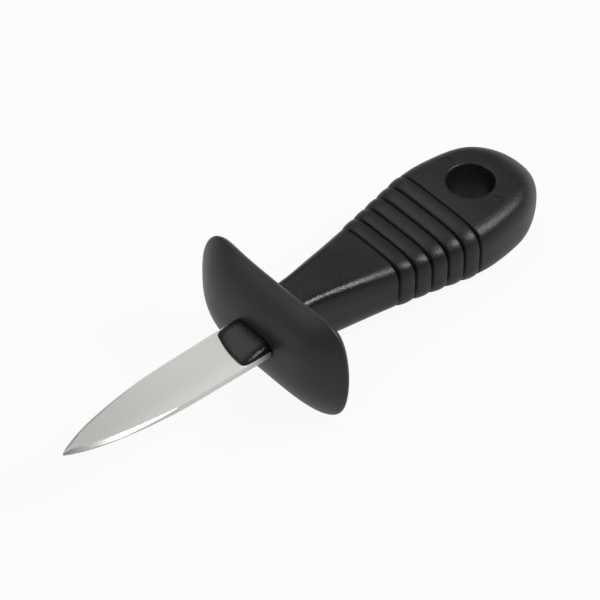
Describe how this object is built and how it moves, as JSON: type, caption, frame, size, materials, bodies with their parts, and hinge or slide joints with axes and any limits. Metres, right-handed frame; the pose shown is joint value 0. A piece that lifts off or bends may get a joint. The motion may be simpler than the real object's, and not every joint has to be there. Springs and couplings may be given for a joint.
{
  "type": "oyster knife",
  "caption": "Oyster knife with a short pointed steel blade, a dished plastic hand guard and a ribbed plastic handle with a hanging hole.",
  "frame": {"origin": "middle of the hanging hole, on its axis", "axes": "+Z along the hanging hole's axis, square to the flat of the blade; +X from the point to the butt along the knife; +Y across the blade's width"},
  "size_m": [0.1573, 0.0568, 0.0346],
  "materials": {
    "steel": "satin stainless steel, ground bevels",
    "guard_plastic": "black, matt, fine mould texture",
    "handle_plastic": "black, satin, fine mould texture"
  },
  "bodies": {
    "root": {"blade": "steel", "guard": "guard_plastic", "handle": "handle_plastic"}
  },
  "joints": []
}
